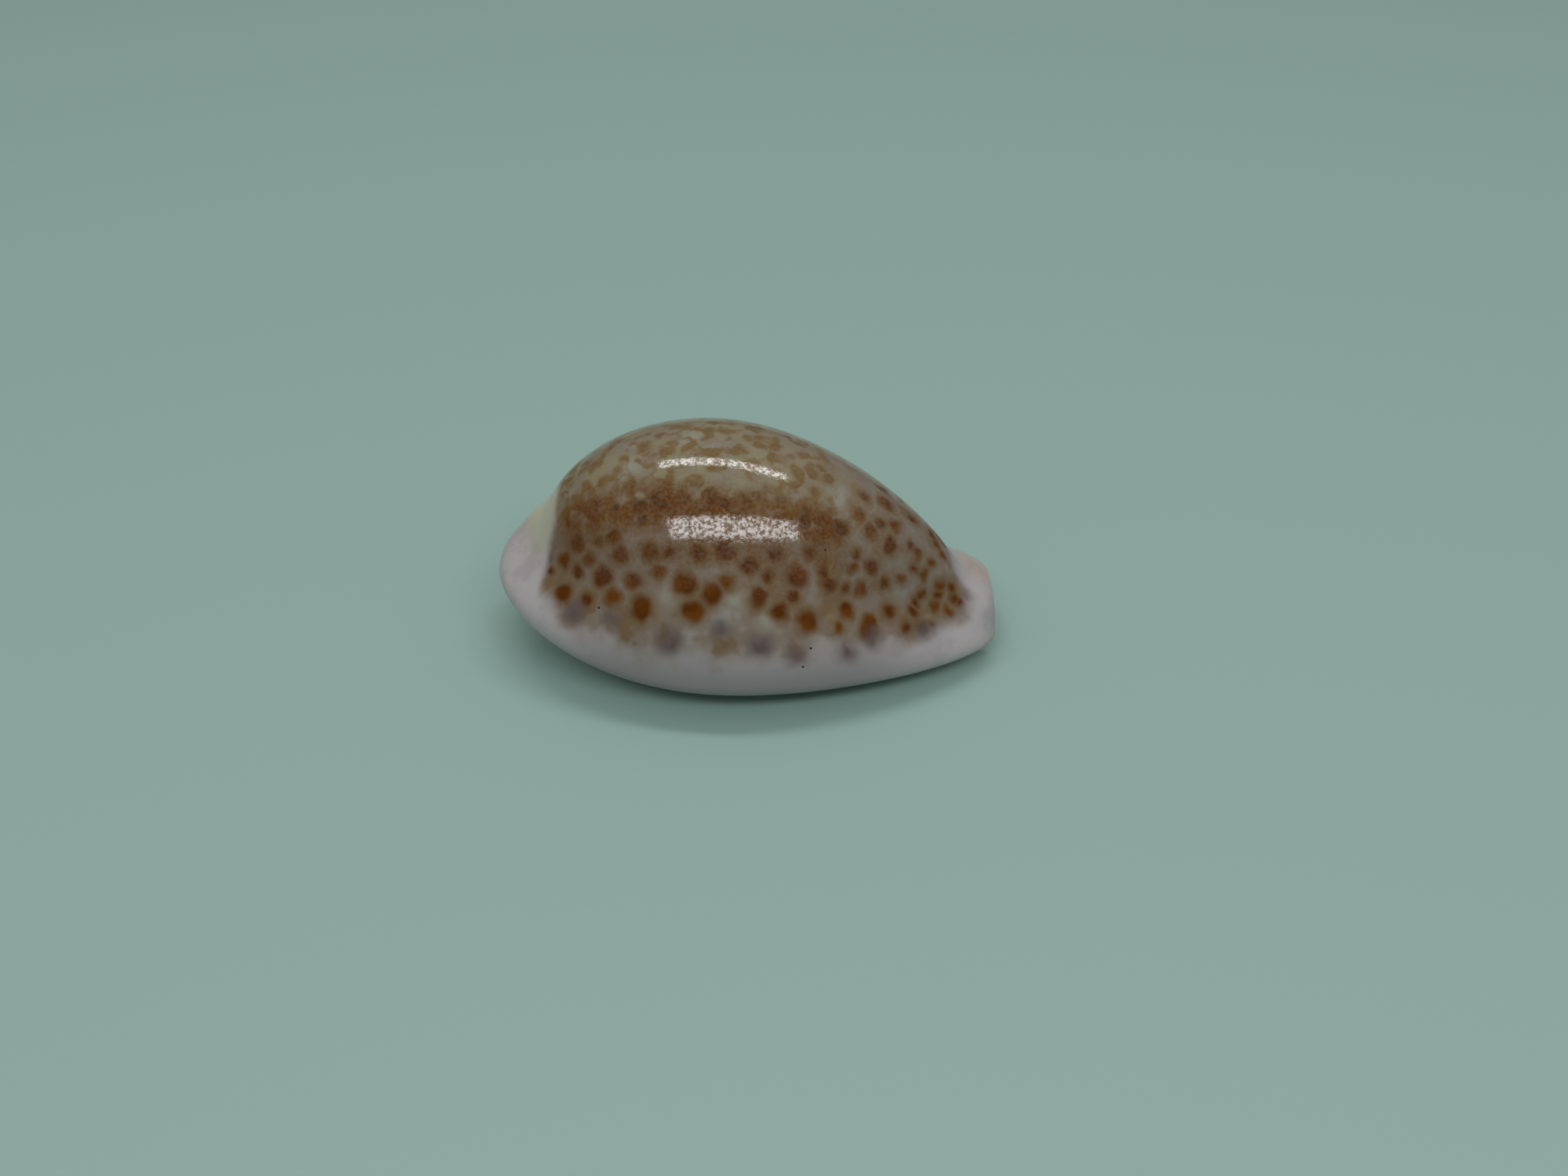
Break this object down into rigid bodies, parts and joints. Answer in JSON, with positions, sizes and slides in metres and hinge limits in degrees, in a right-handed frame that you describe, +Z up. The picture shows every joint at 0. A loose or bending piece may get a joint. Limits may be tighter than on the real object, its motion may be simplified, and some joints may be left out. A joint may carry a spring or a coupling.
{
  "type": "cowrie shell",
  "caption": "Small glossy cowrie shell lying on its base: domed spotted back, pale thickened margin, and a narrow toothed aperture with a canal at each end.",
  "frame": {"origin": "middle of the shell's outline on the surface it lies on", "axes": "+X towards the narrow front (anterior) end, +Z up through the domed back, outer toothed lip on the -Y side of the aperture"},
  "size_m": [0.0222, 0.013, 0.0101],
  "materials": {
    "shell": "glossy enamel: pale grey-white ground with orange-brown spots and a darker band on the back, lilac-white margin, cream base"
  },
  "bodies": {
    "root": {"shell": "shell"}
  },
  "joints": []
}
